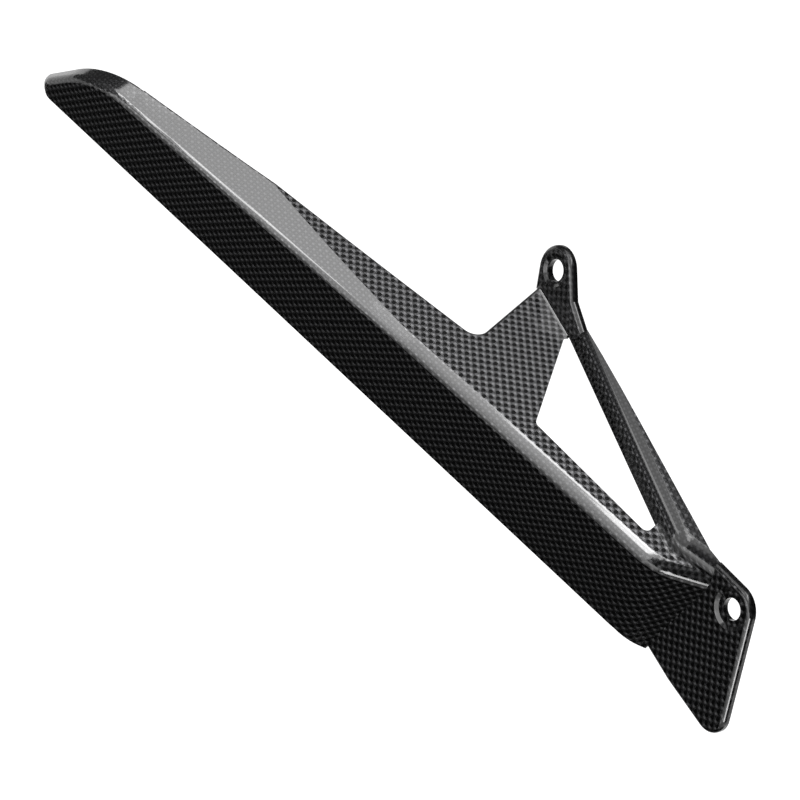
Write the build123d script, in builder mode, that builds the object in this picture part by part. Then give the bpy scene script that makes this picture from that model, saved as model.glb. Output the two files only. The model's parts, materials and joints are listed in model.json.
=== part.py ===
"""Motorcycle chain guard, moulded in one piece of carbon laminate."""
import os
from math import acos, atan2, cos, degrees, hypot, radians, sin, tan

from build123d import *

os.makedirs("parts", exist_ok=True)

# Frame: origin on the tail bolt's axis at its seat, +X along the chain to the nose, +Y outboard, +Z up

# Laminate
wall = 1.8
lug_wall = 3.2

# Seat plane of both bolt lugs, yawed and leaned from the skirt
seat_yaw = 23.0
seat_lean = 11.0

# Tail lug and upper lug, measured on the seat plane from their bolt holes
tail_bore = 8.4
tail_lug_radius = 9.8
tail_dish_radius = 8.0
upper_bore = 9.0
upper_lug_radius = 10.2
upper_dish_radius = 6.8
upper_reach = 156.6
upper_rise = 10.8
upper_root = -3.6
upper_flank = (16.6, -0.4)
upper_heel = 23.6
upper_tongue = 29.0
upper_tongue_low = 2.0
upper_tongue_top = 6.8
dish_depth = 0.9
dish_slope = 1.4
lug_roll = 1.9
lug_bury = 0.4
crease_round = 1.4

# Skirt, roof and end wall
skirt_out = 10.6
roof_top = 0.0
roof_edge_round = 5.5
nose_end = 368.0
nose_turn_radius = 9.0
skirt_drop_nose = 38.0
skirt_drop_tail = 43.4
rim_rise = 12.0
rim_corner = 8.0
rim_round = 7.0
tail_corner = 31.0
tail_turn_radius = 24.0
end_wall_turn = 33.7
end_wall_draft = 3.4
end_wall_fall = 0.22

# Facet that grows out of the rolled edge towards the nose
facet_start = 146.0
facet_width = 3.2
facet_drop = 3.2
facet_spread = 0.178
facet_fall = 0.0213
ridge_round = 4.0
ridge_meet = 5.0

# Nose, bent down from the facet
nose_length = 50.0
nose_radius = 50.0
nose_slope = 44.0
nose_cant = 11.5

# Roof in plan: inner edge from nose to notch, tab, and the window between tab, band and strut
inner_edge = [(nose_end - 68.0, -1.7), (nose_end - 23.0, 1.7), (nose_end + 8.0, 2.8)]
inner_edge_aft = (236.0, -6.9)
notch = (143.6, -15.4)
notch_radius = 6.5
tab_tip = (147.4, -66.0)
tab_heel = (118.0, -66.0)
window_tab = (126.0, -53.2)
window_band = (102.0, -2.3)
window_tail = (42.5, 1.7)
window_root = (42.5, -6.6)
window_round = 2.5
inner_edge_round = 1.2

# Strut in plan: foot line with its bend, edge of the lip, height at both ends
strut_nose = (140.0, -59.9)
strut_bend = (32.0, 0.4)
strut_tail = (8.0, -3.4)
strut_bend_radius = 14.0
strut_lean = 9.0
strut_top_nose = 8.6
strut_top_tail = 6.6
strut_round = 6.5
lip_nose = (130.0, -57.0)
lip_bend = (21.3, -7.1)
lip_tail = (10.0, -5.6)
tail_band = -4.2

# Flap below the tail lug, measured on the seat plane
flap_edge_lean = 30.5
flap_length = 53.0
flap_round = 8.0
flap_root_top = (-12.4, -2.0)
flap_root_low = (-15.0, -46.2)
flap_sag = (1.5, -45.4)
tail_shoulder = Vector(-17.0, 5.2)

# How far the moulds and cutters run past the part
inboard_reach = 78.0
deep = 60.0
clear = 12.0
bore_run = 20.0


def mould(inset):
    """Solid under the guard's outer face, with every face moved inwards by inset."""
    skirt = skirt_out - inset
    nose = nose_end - inset
    inboard = -inboard_reach - inset
    turn = radians(end_wall_turn)
    draft = radians(end_wall_draft)
    end_out = Vector(-sin(turn) * cos(draft), cos(turn) * cos(draft), sin(draft))
    end_corner = Vector(tail_corner, skirt_out, roof_top)
    with BuildPart() as solid:
        with BuildSketch(Plane.XY.offset(roof_top - inset)):
            with BuildLine():
                Polyline((-deep, skirt), (nose, skirt), (nose, inboard), (-deep, inboard), close=True)
            make_face()
            fillet(vertices().sort_by_distance((nose, skirt))[0], radius=nose_turn_radius - inset)
        extrude(amount=-deep - inset)
        # End wall, its turn and the rolled edge of the roof
        split(bisect_by=Plane(origin=end_corner - end_out * inset, z_dir=end_out), keep=Keep.BOTTOM)
        upright = edges().sort_by_distance(end_corner - Vector(0, 0, deep / 2))[0]
        fillet(upright, radius=tail_turn_radius - inset)
        roof_edge = edges().group_by(Axis.Z)[-1].sort_by(Axis.Y)[-1]
        fillet(roof_edge, radius=roof_edge_round - inset)
        # Nose
        cant = radians(nose_cant)
        slope = radians(nose_slope)
        nose_start = nose_end - nose_length
        ridge = roof_top - facet_drop - facet_fall * (nose_start - facet_start)
        side = Plane(origin=(nose_start, skirt_out, ridge), x_dir=(1, 0, 0), z_dir=(0, -cos(cant), sin(cant)))
        with BuildSketch(side):
            with BuildLine():
                crest = JernArc((0, -inset), (1, 0), nose_radius - inset, -nose_slope)
                fall = PolarLine(crest @ 1, deep, direction=crest % 1)
                Polyline(fall @ 1, ((fall @ 1).X, clear), (0, clear), (0, -inset))
            make_face()
        extrude(amount=2 * deep, both=True, mode=Mode.SUBTRACT)
        nose_out = Vector(sin(slope), cos(slope) * sin(cant), cos(slope) * cos(cant))
        fall_face = faces().filter_by(GeomType.PLANE).sort_by(lambda f: (f.normal_at() - nose_out).length)[0]
        lower_edges = fall_face.edges().filter_by(lambda e: e.center().Y > -inboard_reach).sort_by(Axis.X)[1:]
        fillet(lower_edges, radius=ridge_round - inset)
        # Facet
        for x in (facet_start, nose_end + clear):
            width = facet_width + facet_spread * (x - facet_start)
            drop = facet_drop + facet_fall * (x - facet_start)
            span = hypot(width, drop)
            down = Vector(width, -drop) / span
            out = Vector(drop, width) / span
            corner = Vector(skirt_out, roof_top - drop) - out * inset - down * inset * (span - drop) / width
            turn = acos(drop / span)
            roll_start = corner - down * (ridge_round - inset) * tan(turn / 2)
            with BuildSketch(Plane.YZ.offset(x)):
                with BuildLine():
                    flat = Line(corner - down * (width + clear), roll_start)
                    roll = JernArc(roll_start, down, ridge_round - inset, ridge_meet - degrees(turn))
                    fade = PolarLine(roll @ 1, clear, direction=roll % 1)
                    Polyline(fade @ 1, (skirt_out + clear, (fade @ 1).Y),
                             (skirt_out + clear, roof_top + clear), flat @ 0 + out * clear, flat @ 0)
                make_face()
        loft(mode=Mode.SUBTRACT)
    return solid.part


def strut_block(inset):
    """Solid under the strut's front wall and lip, with both moved inwards by inset."""
    rise = (strut_top_nose - strut_top_tail) / (strut_nose[0] - strut_tail[0])
    back = strut_nose[1] - 2 * clear
    with BuildPart() as solid:
        with BuildSketch(Plane.XY.offset(roof_top - wall)):
            with BuildLine():
                Polyline(strut_nose, strut_bend, strut_tail, (strut_tail[0], back),
                         (strut_nose[0], back), close=True)
            make_face()
            fillet(vertices().sort_by_distance(strut_bend)[0], radius=strut_bend_radius)
            if inset > 0:
                offset(amount=-inset, mode=Mode.REPLACE)
        extrude(amount=strut_top_nose + clear, taper=strut_lean)
        top = Plane(origin=(strut_nose[0], 0, roof_top + strut_top_nose - inset), z_dir=(-rise, 0, 1))
        split(bisect_by=top, keep=Keep.BOTTOM)
        fillet(faces().sort_by(Axis.Z)[-1].edges(), radius=strut_round - inset)
    return solid.part


def tangent(point, radius, side):
    """Where a line from the point touches a circle round the origin, on the given side."""
    angle = atan2(point.Y, point.X) + side * acos(radius / point.length)
    return Vector(cos(angle), sin(angle)) * radius


# Seat plane: local x runs to the tail, local y up, local z outboard
yaw = radians(seat_yaw)
lean = radians(seat_lean)
seat = Plane(
    origin=(0, 0, 0),
    x_dir=(-cos(yaw), sin(yaw), 0),
    z_dir=(sin(yaw) * cos(lean), cos(yaw) * cos(lean), sin(lean)),
)
seat_axis = Axis(seat.origin, seat.z_dir)

# Each bolt hole: place on the seat plane, bore, dish round it
tail_hole = (Vector(0, 0), tail_bore, tail_dish_radius)
upper_hole = (Vector(-upper_reach, upper_rise), upper_bore, upper_dish_radius)

outer_face = mould(0)
inner_face = mould(wall)
outer_strut = strut_block(0)
inner_strut = strut_block(wall)

with BuildPart() as strut:
    add(outer_strut)
    add(inner_strut, mode=Mode.SUBTRACT)
    with BuildSketch(Plane.XY.offset(roof_top - clear)):
        with BuildLine():
            Polyline((lip_nose[0], skirt_out), lip_nose, lip_bend, lip_tail, (lip_tail[0], skirt_out),
                     close=True)
        make_face()
    extrude(amount=3 * clear, mode=Mode.INTERSECT)

with BuildPart() as upper_plate:
    centre = upper_hole[0]
    foot = -upper_rise - wall - lug_bury
    root = centre + Vector(upper_root, foot)
    flank = centre + Vector(*upper_flank)
    heel = centre + Vector(upper_heel, foot)
    tongue_low = centre + Vector(upper_tongue, upper_tongue_low - upper_rise)
    tongue_top = centre + Vector(upper_tongue, upper_tongue_top - upper_rise)
    touch_root = centre + tangent(root - centre, upper_lug_radius, -1)
    touch_flank = centre + tangent(flank - centre, upper_lug_radius, 1)
    with BuildSketch(seat):
        with Locations(centre):
            Circle(upper_lug_radius)
        with BuildLine():
            Polyline(root, touch_root, centre, touch_flank, flank, tongue_top, tongue_low, heel, close=True)
        make_face()
    extrude(amount=lug_wall)
    front = faces().sort_by(seat_axis)[-1].edges()
    above_roof = front.filter_by(lambda e: seat.to_local_coords(e.center()).Y > wall)
    tongue_end = above_roof.sort_by_distance(seat.from_local_coords((tongue_low + tongue_top) / 2))[0]
    fillet([e for e in above_roof if e != tongue_end], radius=lug_roll)

with BuildPart() as tail_plate:
    edge = radians(flap_edge_lean)
    leave = Vector(cos(edge), sin(edge)) * tail_lug_radius
    tip = leave + Vector(sin(edge), -cos(edge)) * flap_length
    crown = tangent(tail_shoulder, tail_lug_radius, -1)
    with BuildSketch(seat):
        Circle(tail_lug_radius)
        with BuildLine():
            Polyline(crown, tail_shoulder, flap_root_top, flap_root_low, flap_sag, tip, leave, close=True)
        make_face()
        fillet(vertices().sort_by_distance(tip)[0], radius=flap_round)
    extrude(amount=lug_wall)
    front = faces().sort_by(seat_axis)[-1].edges()
    free = front.filter_by(lambda e: seat.to_local_coords(e.center()).X > flap_root_top[0] + lug_bury)
    fillet(free, radius=lug_roll)

with BuildPart() as guard:
    add(outer_face)
    # Plan outline of roof and skirt, with the window
    with BuildSketch(Plane.XY.offset(roof_top - deep)):
        with BuildLine():
            Polyline(inner_edge[-1], (inner_edge[-1][0], deep), (-deep, deep), (-deep, tail_band),
                     (lip_tail[0], tail_band), (strut_bend[0], strut_bend[1] - wall),
                     (window_root[0], window_root[1] - lug_bury), (window_tab[0], window_tab[1] - lug_bury),
                     tab_heel, tab_tip, notch)
            Spline(notch, inner_edge_aft, *inner_edge)
        make_face()
        fillet(vertices().sort_by_distance(notch)[0], radius=notch_radius)
        window = (window_tab, window_band, window_tail, window_root)
        with BuildLine():
            Polyline(*window, close=True)
        make_face(mode=Mode.SUBTRACT)
        fillet([vertices().sort_by_distance(corner)[0] for corner in window], radius=window_round)
    extrude(amount=deep + clear, mode=Mode.INTERSECT)
    # Rolled inner edge of the roof
    inner_side = faces().sort_by_distance((*inner_edge[0], roof_top - deep / 2))[0]
    top_edges = inner_side.edges().filter_by(lambda e: roof_top - clear < e.center().Z)
    fillet(top_edges, radius=inner_edge_round)
    # Lower rim of the skirt and the end wall
    rim_nose = (nose_end - rim_corner, roof_top - skirt_drop_nose)
    rim_tail = (tail_corner, roof_top - skirt_drop_tail)
    with BuildSketch(Plane.XZ.offset(-deep)):
        with BuildLine():
            Polyline((-deep, clear), (-deep, rim_tail[1] - end_wall_fall * (tail_corner + deep)), rim_tail,
                     rim_nose, (nose_end + rim_corner, rim_nose[1] + rim_rise),
                     (nose_end + rim_corner, clear), close=True)
        make_face()
        fillet(vertices().sort_by_distance(rim_nose)[0], radius=rim_round)
    extrude(amount=3 * deep, mode=Mode.INTERSECT)
    # Open channel inside
    split(bisect_by=seat.offset(lug_wall - wall / 2), keep=Keep.TOP)
    add(inner_face, mode=Mode.SUBTRACT)
    # Strut, lugs and flap
    add(strut.part)
    add(upper_plate.part)
    add(tail_plate.part)
    # Hollow crease between the tab and the upper lug
    crease_spot = seat.from_local_coords(centre + Vector(0, -upper_rise, lug_wall))
    fillet(edges().sort_by_distance(crease_spot)[0], radius=crease_round)
    # Bolt holes with their dished seats
    with Locations(seat):
        for spot, bore, dish in (tail_hole, upper_hole):
            with Locations(spot):
                Cylinder(bore / 2, bore_run, mode=Mode.SUBTRACT)
            with Locations(spot + Vector(0, 0, lug_wall)):
                Cone(dish - dish_slope, dish + dish_slope, 2 * dish_depth, mode=Mode.SUBTRACT)

guard.part.label = "chain_guard"
export_step(guard.part, "parts/chain_guard.step")
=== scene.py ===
# %% [markdown]
# A motorcycle chain guard, moulded in one piece from carbon cloth and lacquered.
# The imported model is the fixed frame: it gives the size, the place and the two bolt holes.
# Everything below adds the finish, the light and the camera, in metres, and leaves the form as it is.

# %% Load the frame
import json
import math

import bpy
from mathutils import Matrix, Vector


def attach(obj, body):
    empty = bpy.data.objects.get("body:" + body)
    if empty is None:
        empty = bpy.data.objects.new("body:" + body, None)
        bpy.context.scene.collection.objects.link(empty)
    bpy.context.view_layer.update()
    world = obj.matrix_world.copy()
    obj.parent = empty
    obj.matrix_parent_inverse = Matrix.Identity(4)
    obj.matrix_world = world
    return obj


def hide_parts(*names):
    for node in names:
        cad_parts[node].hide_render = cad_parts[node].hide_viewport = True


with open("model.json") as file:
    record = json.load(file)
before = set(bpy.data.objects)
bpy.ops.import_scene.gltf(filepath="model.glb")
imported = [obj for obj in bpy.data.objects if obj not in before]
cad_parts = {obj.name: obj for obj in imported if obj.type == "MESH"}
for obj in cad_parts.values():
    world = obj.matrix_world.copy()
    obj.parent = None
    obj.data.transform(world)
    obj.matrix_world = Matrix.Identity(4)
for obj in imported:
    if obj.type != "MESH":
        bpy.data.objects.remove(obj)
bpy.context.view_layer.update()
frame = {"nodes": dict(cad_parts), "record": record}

MM = 0.001
guard_node = frame["nodes"]["chain_guard"]
mounts = {mount["name"]: mount for mount in frame["record"]["mounts"]}
tail_bolt = Vector(mounts["tail_bolt"]["pos_m"])
upper_bolt = Vector(mounts["upper_bolt"]["pos_m"])
seat_normal = Vector(mounts["tail_bolt"]["axis"]).normalized()

# %% [markdown]
# The camera stands above the outer side and looks along the guard from tail to nose.
# It is rolled, so that the long edge runs from the upper left to the lower right.
# Its three axes are set as a matrix, because a roll is awkward to give as three angles.

# %% Camera
camera_place = Vector((-50.920, 470.544, 525.377)) * MM
camera_back = Vector((-0.270642, 0.614938, 0.740678)).normalized()
camera_up = Vector((0.648817, -0.451880, 0.612243)).normalized()
camera_right = camera_up.cross(camera_back)
sensor_width = 36.0
focal_pixels = 1900.0
frame_pixels = 800.0
nearest_seen = 0.01

bpy.ops.object.select_all(action="DESELECT")
bpy.ops.object.camera_add()
camera = bpy.context.object
camera.name = "camera"
turn = Matrix((camera_right, camera_up, camera_back)).transposed()
camera.matrix_world = Matrix.Translation(camera_place) @ turn.to_4x4()
camera.data.sensor_width = sensor_width
camera.data.lens = sensor_width * focal_pixels / frame_pixels
camera.data.clip_start = nearest_seen
bpy.context.scene.camera = camera
print("lens", camera.data.lens)

# %% [markdown]
# A photographer would hang this part high over a wide pale sheet, to get a plain white ground.
# The sheet lies far below, so that the guard's shadow on it is wide and faint.
# It is one large plane, and as a part of the stage it doesn't count as a piece of the guard.

# %% Pale sheet
sheet_height = -1.2
sheet_size = 40.0

bpy.ops.object.select_all(action="DESELECT")
bpy.ops.mesh.primitive_plane_add(size=sheet_size, location=(0, 0, sheet_height))
sheet = bpy.context.object
sheet.name = "sheet"
bpy.ops.object.transform_apply(location=True, rotation=True, scale=True)
print("sheet at", sheet_height)

# %% [markdown]
# Shader maths reads best as plain sums.
# This small class wraps one socket, so that an expression such as 1 - mask adds the Math nodes by itself.
# Every other node comes from its node method, which takes the type, the sockets and the settings.


# %% Shader sums
class Shade:
    def __init__(self, tree, socket=None):
        self.tree = tree
        self.socket = socket

    def node(self, kind, inputs=(), settings=(), output=0):
        made = self.tree.nodes.new(kind)
        for name, value in dict(settings).items():
            setattr(made, name, value)
        for key, value in dict(inputs).items():
            if isinstance(value, Shade):
                self.tree.links.new(value.socket, made.inputs[key])
            else:
                made.inputs[key].default_value = value
        return Shade(self.tree, made.outputs[output] if made.outputs else None)

    def math(self, operation, *values):
        return self.node("ShaderNodeMath", dict(enumerate(values)), {"operation": operation})

    def __add__(self, other):
        return self.math("ADD", self, other)

    def __radd__(self, other):
        return self.math("ADD", other, self)

    def __sub__(self, other):
        return self.math("SUBTRACT", self, other)

    def __rsub__(self, other):
        return self.math("SUBTRACT", other, self)

    def __mul__(self, other):
        return self.math("MULTIPLY", self, other)

    def __rmul__(self, other):
        return self.math("MULTIPLY", other, self)

    def __truediv__(self, other):
        return self.math("DIVIDE", self, other)

    def __rtruediv__(self, other):
        return self.math("DIVIDE", other, self)

    def part(self, axis):
        return self.node("ShaderNodeSeparateXYZ", {"Vector": self}, output=axis)

    def step(self, low, high):
        return self.node(
            "ShaderNodeMapRange",
            {"Value": self, "From Min": low, "From Max": high},
            {"interpolation_type": "SMOOTHSTEP"},
        )

    def between(self, first, second):
        return first + self * (second - first)


print("shader sums ready")

# %% [markdown]
# Each finish is a material of its own and starts from an empty node tree.
# The pen that comes with it is a Shade without a socket, which only adds the first nodes to that tree.


# %% New material
def new_material(name):
    material = bpy.data.materials.new(name)
    material.use_nodes = True
    material.node_tree.nodes.clear()
    print("material", name)
    return material, Shade(material.node_tree)


# %% [markdown]
# The sheet is white paper with a black felt mat on it, in front of the outer side and out of the picture.
# Lacquer mirrors what lies before it, so the mat is what keeps the skirt black.
# The mat could be a second plane, but a mask in the paper's material gives it a soft edge more simply.
# To the camera, and in gloss and glass, the paper glows at a strength of one, which is plain white.

# %% Paper and felt
paper_glow = 1.0
paper_shade = 0.45
felt_shade = 0.02
felt_middle = 0.18
felt_reach = (3.0, 2.5)
felt_start = (-0.2, 0.0)

paper, pen = new_material("white_paper")
spot = pen.node("ShaderNodeTexCoord", output="Object")
felt_x = spot.part("X") - felt_middle
felt_y = spot.part("Y")
distance = pen.math("SQRT", felt_x * felt_x + felt_y * felt_y)
felt = distance.step(*felt_reach) * felt_y.step(*felt_start)
white = felt.between(1.0, felt_shade)
seen = pen.node("ShaderNodeLightPath", output="Is Camera Ray")
for ray in ("Is Glossy Ray", "Is Transmission Ray"):
    seen = pen.math("MAXIMUM", seen, pen.node("ShaderNodeLightPath", output=ray))
matt = pen.node(
    "ShaderNodeBsdfPrincipled",
    {
        "Base Color": white * paper_shade,
        "Roughness": 1.0,
        "Specular IOR Level": 0.0,
        "Emission Color": seen * white,
        "Emission Strength": paper_glow,
    },
)
pen.node("ShaderNodeOutputMaterial", {"Surface": matt})
sheet.data.materials.append(paper)
print("felt out to", felt_reach[1], "m")

# %% [markdown]
# Every lamp is an area light, because lacquer mirrors the shape of a lamp and a panel gives a clean one.
# Its power follows from the brightness of its face and its size, so a panel can grow and stay as bright.
# A panel may fade from one edge to the other, so that its mirror image ends softly.

# %% Light panels
inboard = Vector((0, -1, 0))
to_nose = Vector((0.6, -0.8, 0))


def fade_panel(light, dark, bright, floor):
    light.use_nodes = True
    light.node_tree.nodes.clear()
    pen = Shade(light.node_tree)
    height = pen.node("ShaderNodeNewGeometry", output="Parametric").part("Y")
    glow = height.step(dark, bright).between(floor, 1.0)
    shine = pen.node("ShaderNodeEmission", {"Strength": glow})
    pen.node("ShaderNodeOutputLight", {"Surface": shine})


def add_panel(name, middle, size, level, face=None, fade=None, shape="RECTANGLE"):
    bpy.ops.object.select_all(action="DESELECT")
    bpy.ops.object.light_add(type="AREA", location=middle)
    lamp = bpy.context.object
    lamp.name = name
    if face is not None:
        lamp.rotation_euler = face.to_track_quat("-Z", "Y").to_euler()
    width, length = size
    lamp.data.shape = shape
    lamp.data.size = width
    lamp.data.size_y = length
    lamp.data.energy = level * math.pi * width * length
    if fade:
        fade_panel(lamp.data, **fade)
    print(name, round(lamp.data.energy, 2), "W")


# %% [markdown]
# One large softbox hangs over the part, where the sloping facet mirrors it towards the camera.
# A wide one stands outboard and fades towards the floor, so that the rolled edge shades off into the skirt.
# Smaller panels draw the bright lines on the roll, the ridge and the end of the tail.
# A faint one fills the roof.
# Places are measured from the origin on the tail bolt's axis, and a panel that isn't turned faces down.

# %% Softboxes and strips
overhead_fade = {"dark": 1.0, "bright": 0.25, "floor": 0.6}
outer_fade = {"dark": 0.0, "bright": 0.6, "floor": 0.0}

add_panel("softbox", middle=(0.49, 0.585, 0.66), size=(1.02, 1.83), level=5.4, fade=overhead_fade)
add_panel(
    "outer_softbox", middle=(0.45, 1.50, 0.155), size=(2.30, 1.01), level=3.6, face=inboard, fade=outer_fade
)
add_panel("end_window", middle=(-0.95, 1.15, 0.25), size=(0.60, 0.40), level=14.0, face=to_nose)
add_panel("tail_patch", middle=(0.115, 0.08, 0.64), size=(0.11, 0.50), level=12.0, shape="ELLIPSE")
add_panel("tail_line", middle=(0.16, -0.17, 0.645), size=(0.20, 0.16), level=13.0)
add_panel("inner_line", middle=(0.175, -0.30, 0.65), size=(0.25, 0.06), level=5.0)
add_panel("ridge_line", middle=(0.72, 0.38, 0.65), size=(0.46, 0.24), level=11.0)
add_panel("roof_fill", middle=(0.40, -0.80, 0.66), size=(0.80, 0.65), level=0.2)

# %% [markdown]
# The room itself is nearly black, so that the lacquer shows only the lamps and the sheet.
# The Standard view adds no curve of its own, so a tone renders about as it is written.

# %% Dark room
room_level = 0.015
room_colour = (room_level, room_level, room_level, 1)

world = bpy.data.worlds.new("room")
world.use_nodes = True
world.node_tree.nodes["Background"].inputs["Color"].default_value = room_colour
bpy.context.scene.world = world
bpy.context.scene.view_settings.view_transform = "Standard"
print("room", room_level)

# %% [markdown]
# The real guard is one moulded shell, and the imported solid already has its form.
# The visible shell is a copy of that solid with its loose triangles merged.
# Edges past the crease angle stay sharp.
# Weighted normals keep the long faces flat while the rolls turn smoothly, so the lacquer reflects cleanly.
# A subdivided mesh would be smooth too, but it would draw the edges in and change the size.

# %% Shell
merge_reach = 0.002 * MM
crease_angle = math.radians(17)

bpy.ops.object.select_all(action="DESELECT")
shell = bpy.data.objects.new("guard_shell", guard_node.data.copy())
bpy.context.scene.collection.objects.link(shell)
bpy.context.view_layer.objects.active = shell
shell.select_set(True)
bpy.ops.object.mode_set(mode="EDIT")
bpy.ops.mesh.customdata_custom_splitnormals_clear()
bpy.ops.mesh.select_mode(type="EDGE")
bpy.ops.mesh.select_all(action="SELECT")
bpy.ops.mesh.remove_doubles(threshold=merge_reach)
bpy.ops.mesh.faces_shade_smooth()
bpy.ops.mesh.mark_sharp(clear=True)
bpy.ops.mesh.select_all(action="DESELECT")
bpy.ops.mesh.edges_select_sharp(sharpness=crease_angle)
bpy.ops.mesh.mark_sharp()
bpy.ops.object.mode_set(mode="OBJECT")
weigh = shell.modifiers.new("weigh_normals", "WEIGHTED_NORMAL")
weigh.keep_sharp = True
bpy.ops.object.modifier_apply(modifier=weigh.name)
print("shell", len(shell.data.vertices), "points", len(shell.data.polygons), "faces")

# %% [markdown]
# The wall of the skirt bends in at the tail, and the cloth follows it round the corner.
# This helper measures how far along the wall a point lies: straight, then round the bend, then straight on.
# A flat projection would be shorter to write, but it would squeeze the weave on the wall that turns away.

# %% Run of the wall
skirt_out = 10.6 * MM
tail_corner = 31.0 * MM
tail_turn_radius = 24.0 * MM
end_wall_turn = math.radians(33.7)

corner_start = tail_corner + tail_turn_radius * math.tan(end_wall_turn / 2)
corner_centre = Vector((corner_start, skirt_out - tail_turn_radius))


def wall_run(point):
    offset = Vector((point.x, point.y)) - corner_centre
    if offset.x >= 0:
        return point.x
    turned = math.atan2(-offset.x, offset.y)
    if turned <= end_wall_turn:
        return corner_start - tail_turn_radius * turned
    past = -offset.x * math.cos(end_wall_turn) - offset.y * math.sin(end_wall_turn)
    return corner_start - tail_turn_radius * end_wall_turn - past


print("the wall turns at", round(corner_start / MM, 1), "mm")

# %% [markdown]
# The cloth is laid in the mould in a few pieces, and each lies flat before it is draped.
# The main piece is folded over the long edge: along the guard it measures x, and across the fold y - z.
# Round the tail corner it follows the wall, the lugs lie flat on their seat, and the strut has its own strip.
# An unwrap could flatten the mesh as well, but it would turn and bend the rows of the weave.

# %% Lay of the cloth
strut_floor = 0.6 * MM
strut_way = Vector((0.874, -0.486))
seat_reach = 6.0 * MM
lug_reach = 24.0 * MM
face_on = 0.9
wall_lean = math.cos(math.radians(45))

seat_along = Vector((-seat_normal.y, seat_normal.x, 0)).normalized()
seat_up = seat_normal.cross(seat_along)


def on_seat(centre, normal):
    if abs(normal.dot(seat_normal)) < face_on:
        return False
    near_tail = abs((centre - tail_bolt).dot(seat_normal)) < seat_reach and centre.x < lug_reach
    near_upper = (centre - upper_bolt).length < lug_reach
    return near_tail or near_upper


def lay(point, centre, normal):
    if on_seat(centre, normal):
        return (point - tail_bolt).dot(seat_along), (point - tail_bolt).dot(seat_up)
    if centre.z > strut_floor:
        strut_run = point.x * strut_way.x + point.y * strut_way.y
        strut_side = point.y * strut_way.x - point.x * strut_way.y
        return strut_run, strut_side - point.z
    if centre.x < corner_start and abs(normal.z) < wall_lean:
        return wall_run(point), skirt_out - point.z
    return point.x, point.y - point.z


cloth = shell.data.uv_layers.new(name="cloth")
for face in shell.data.polygons:
    for corner in face.loop_indices:
        point = shell.data.vertices[shell.data.loops[corner].vertex_index].co
        u, v = lay(point, face.center, face.normal)
        cloth.data[corner].uv = (u / MM, v / MM)
print("cloth laid on", len(shell.data.polygons), "faces")

# %% [markdown]
# Walls, slopes and level faces get painted light and shade of their own.
# The turned-over lip of the strut differs again.
# Two marks say which is which: how far each corner of a face looks up, and whether it is on the lip.
# They are kept as attributes of the mesh, because the material can read those wherever the guard is moved.

# %% Marks for the finish
lip_floor = 3.0 * MM
lip_rise = 0.6

rises = [turned.vector.z for turned in shell.data.corner_normals]
heights = [shell.data.vertices[loop.vertex_index].co.z for loop in shell.data.loops]
lips = [float(height > lip_floor and rise > lip_rise) for height, rise in zip(heights, rises)]
shell.data.attributes.new("rise", "FLOAT", "CORNER").data.foreach_set("value", rises)
shell.data.attributes.new("lip", "FLOAT", "CORNER").data.foreach_set("value", lips)
print("corners on the lip", int(sum(lips)), "of", len(lips))

# %% [markdown]
# Plain weave: every tow, a flat bundle of fibres, goes over one and under the next.
# So the cloth is a chequer of short floats, and warp and weft take turns on top.
# The UV map is in millimetres, so it divides into squares of one tow, and every second square is weft.
# Run and side are the places along and across the fibres of a float, measured from its middle.

# %% Chequer of floats
tow_pitch = 2.03
cloth_turn = math.radians(-1)
square_middle = 0.5
tow_sets = 2.0

carbon, pen = new_material("lacquered_carbon")
cloth_place = pen.node("ShaderNodeUVMap", settings={"uv_map": "cloth"})
cloth_u = cloth_place.part("X")
cloth_v = cloth_place.part("Y")
along = (cloth_u * math.cos(cloth_turn) + cloth_v * math.sin(cloth_turn)) / tow_pitch
across = (cloth_v * math.cos(cloth_turn) - cloth_u * math.sin(cloth_turn)) / tow_pitch
column = pen.math("FLOOR", along)
row = pen.math("FLOOR", across)
in_column = along - column - square_middle
in_row = across - row - square_middle
weft = pen.math("FLOORED_MODULO", column + row, tow_sets)
run = weft.between(in_column, in_row)
side = weft.between(in_row, in_column)
print("tow pitch", tow_pitch, "mm")

# %% [markdown]
# Walls, slopes and level faces are told apart by how far they look up.
# Soft limits let the relief and the painted light and shade of one face run into the next over a rolled edge.
# The slope counts only on the nose side of the tail corner, where the facet and the roll mirror the softbox.

# %% Walls, slope and level faces
upper_limits = (0.3, 0.75)
level_limits = (0.965, 0.995)

rise = pen.node("ShaderNodeAttribute", settings={"attribute_name": "rise"}, output="Fac")
lip = pen.node("ShaderNodeAttribute", settings={"attribute_name": "lip"}, output="Fac")
upper_face = rise.step(*upper_limits)
level_face = rise.step(*level_limits)
long_side = pen.node("ShaderNodeTexCoord", output="Object").part("X").step(tail_corner, corner_start)
slope = (upper_face - level_face) * long_side
print("upper faces past", upper_limits[1], "and level faces past", level_limits[1])

# %% [markdown]
# Each float is a little cushion, arched along its fibres and crowned across them.
# As a mesh the cushions would take hundreds of thousands of faces, so a bump draws them.
# It is weaker on the upper faces, and weaker still on the slope and the lip, which look smoother.

# %% Relief of one float
arch = 1.6
crown = 2.6
relief_depth = 0.5 * MM
roof_relief = 0.3
slope_calm = 0.7
lip_calm = 0.4

weave = 1 - pen.math("MAXIMUM", slope_calm * slope, lip_calm * lip)
cushion = (1 - arch * run * run) * (1 - crown * side * side)
float_height = cushion * upper_face.between(1.0, roof_relief) * weave
relief = pen.node("ShaderNodeBump", {"Strength": 1.0, "Distance": relief_depth, "Height": float_height})
print("relief", relief_depth / MM, "mm")
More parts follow.
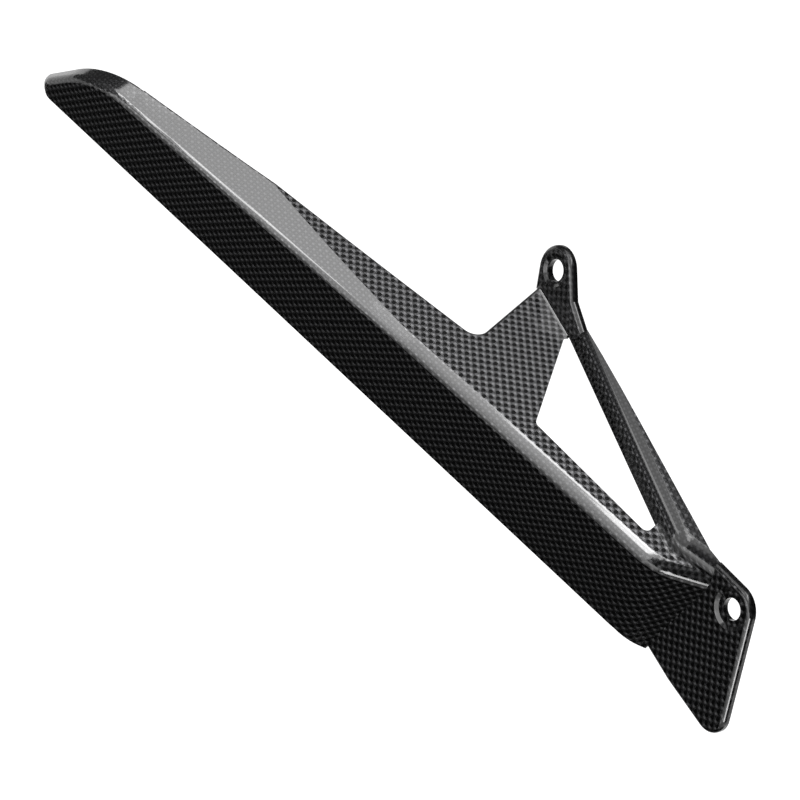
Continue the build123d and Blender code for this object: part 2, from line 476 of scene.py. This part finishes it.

# %% [markdown]
# Fibres shine along a line, so in most light the floats of one set are grey and the others are black.
# A shine turned along each tow could show that, but two plain tones paint that sheen and can be baked.
# A warp float is grey with a painted highlight, a bright dot on its crown.
# A weft float is a black eye in that grey.
# Walls are painted darkest and the level roof brightest.
# That is painted shade and light, for the side of the room that each face mirrors.

# %% Tones of one float
warp_tone = 0.04
weft_tone = 0.004
wall_dim = 0.34
wall_glint = 1.3
wall_eye = 0.2
slope_dim = 0.35
slope_glint = 0.85
roof_dim = 1.4
roof_glint = 3.3
lip_tone = 0.5
glint_edge = (0.16, 0.0)
eye_long = 0.34
eye_wide = 0.22
eye_edge = (1.0, 0.6)

# The dot is a painted highlight on the crown of each warp float.
dot = (run * run + side * side).step(*glint_edge)
eye = (run * run / eye_long + side * side / eye_wide).step(*eye_edge)
wall_shade = dot.between(wall_dim, wall_glint)
slope_shade = dot.between(slope_dim, slope_glint)
roof_shade = dot.between(roof_dim, roof_glint)
upper_shade = level_face.between(slope_shade, roof_shade)
# On the strut's lip the warp tone is halved, which darkens the painted light of its upward faces.
warp_shade = upper_face.between(wall_shade, upper_shade) * lip.between(1.0, lip_tone)
weft_shade = upper_face.between(wall_eye, 1.0)
# The same calm fades the black eyes. On the slope that is painted reflection, the softbox drowning the weave,
# and on the lip it makes the weave fainter.
sunk = weft * eye * weave
tone = sunk.between(warp_shade * warp_tone, weft_shade * weft_tone)
print("warp tone", warp_tone, "weft tone", weft_tone)

# %% [markdown]
# Carbon fibre is dark and shines like metal, so the cloth is a metallic shader of middling roughness.
# The clear lacquer over it is the shader's coat, smooth enough to mirror the softbox.
# The strut's lip gets less coat, because it looks duller than the rest.

# %% Carbon cloth under lacquer
tow_roughness = 0.5
blue_lift = 1.03
lacquer_roughness = 0.1
lacquer_index = 1.5
lip_dull = 0.7

colour = pen.node("ShaderNodeCombineColor", {"Red": tone, "Green": tone, "Blue": tone * blue_lift})
lacquered = pen.node(
    "ShaderNodeBsdfPrincipled",
    {
        "Base Color": colour,
        "Metallic": 1.0,
        "Roughness": tow_roughness,
        "Coat Weight": 1 - lip_dull * lip,
        "Coat Roughness": lacquer_roughness,
        "Coat IOR": lacquer_index,
        "Normal": relief,
    },
)
pen.node("ShaderNodeOutputMaterial", {"Surface": lacquered})
shell.data.materials.clear()
shell.data.materials.append(carbon)
print("carbon", len(carbon.node_tree.nodes), "nodes")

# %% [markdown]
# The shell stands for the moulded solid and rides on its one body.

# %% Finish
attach(shell, "root")
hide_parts("chain_guard")
